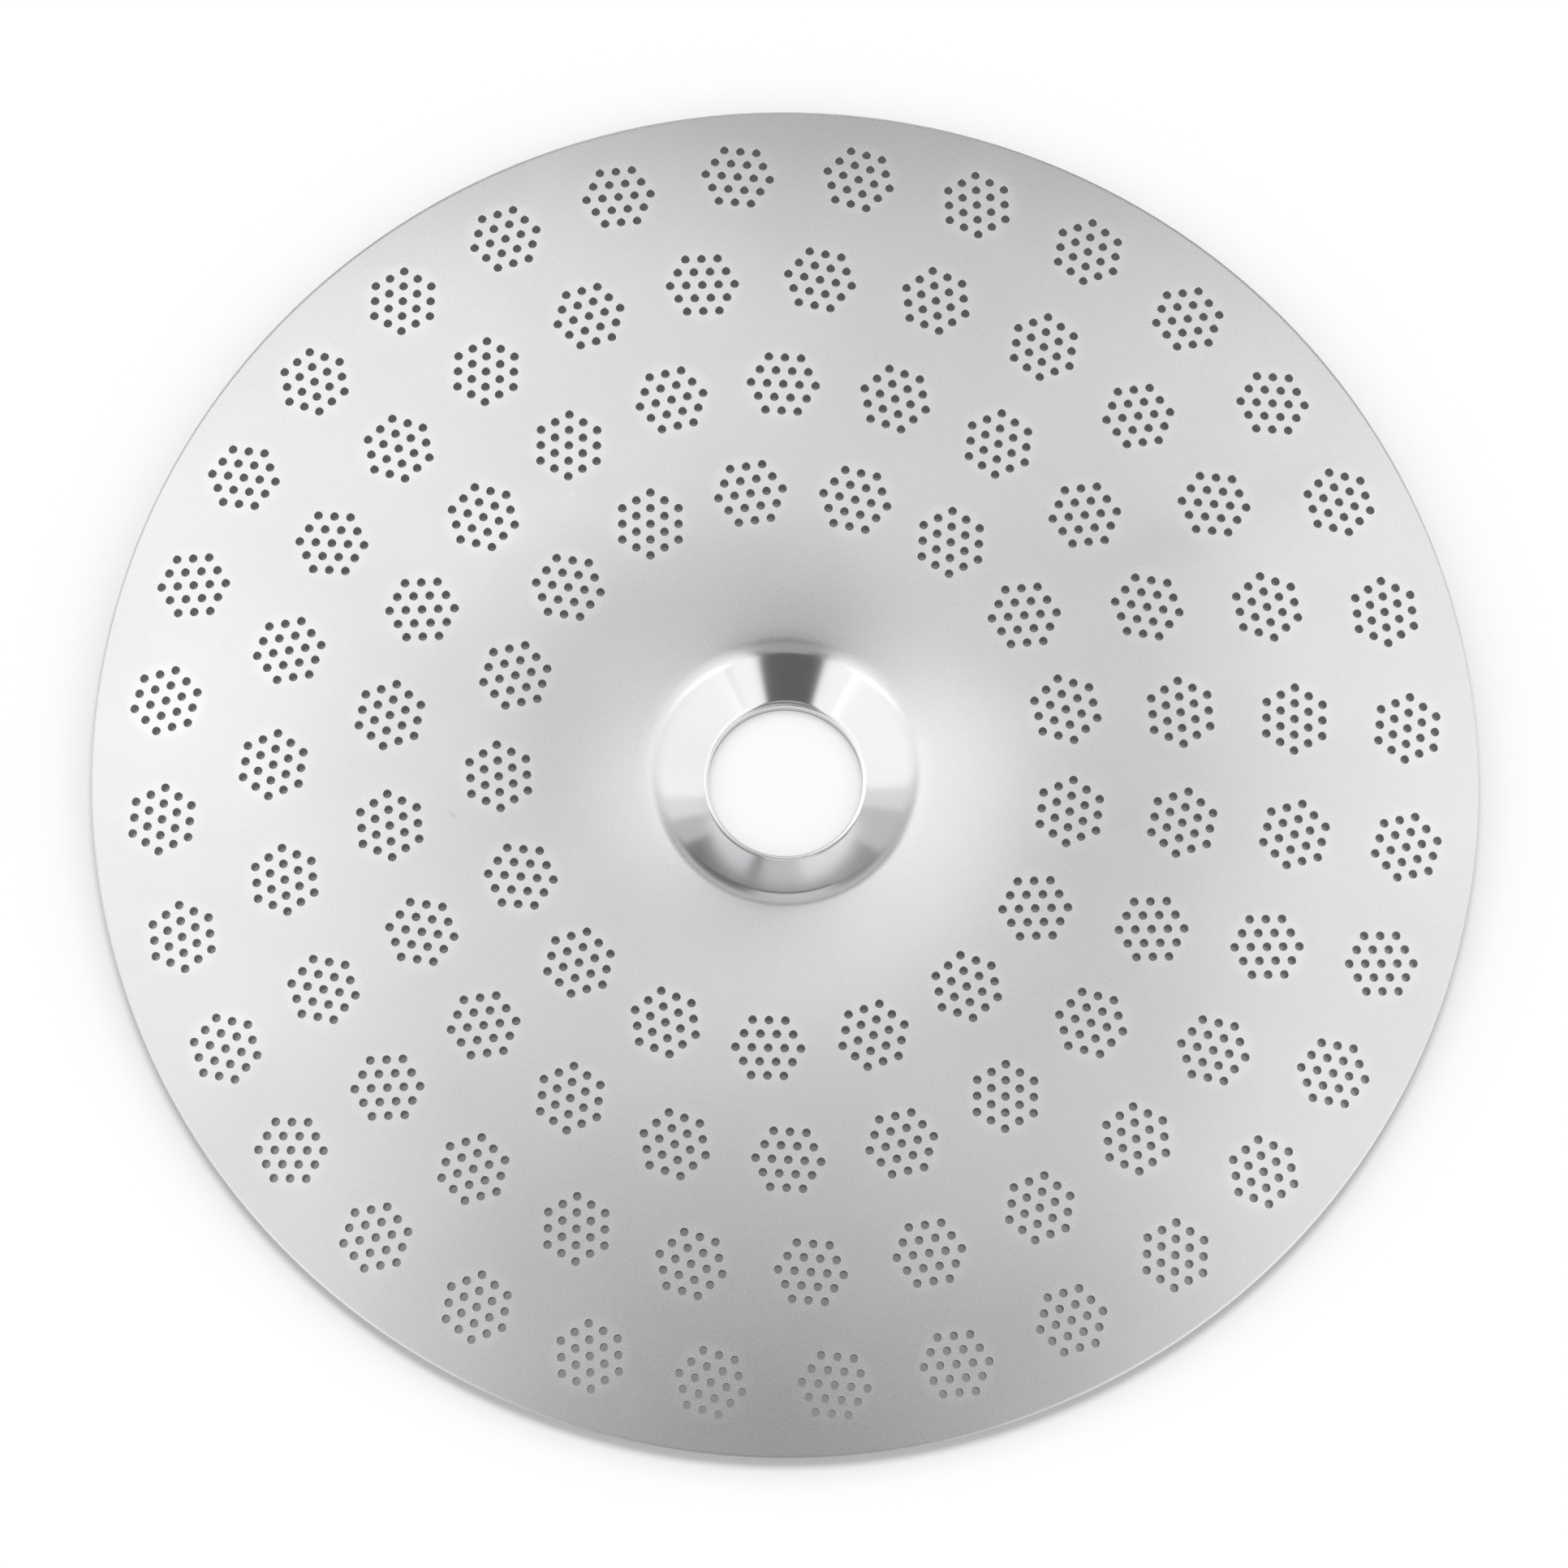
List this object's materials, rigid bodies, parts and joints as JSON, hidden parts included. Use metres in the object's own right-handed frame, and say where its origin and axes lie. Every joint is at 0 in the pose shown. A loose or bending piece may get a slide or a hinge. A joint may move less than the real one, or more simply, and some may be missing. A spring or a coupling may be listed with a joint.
{
  "type": "espresso shower screen",
  "caption": "Round domed disc of stainless sheet with rings of perforated clusters and a sunken screw cup. It spreads brewing water evenly over the coffee in an espresso group.",
  "frame": {"origin": "on the axis, at the underside of the screw cup's flat lip, on which the screen lies", "axes": "+Z along the axis towards the coffee side; +X along the line on which every ring has a cluster"},
  "size_m": [0.0555, 0.0554, 0.0029],
  "materials": {
    "satin_steel": "satin"
  },
  "bodies": {
    "root": {"shower_screen": "satin_steel"}
  },
  "joints": []
}
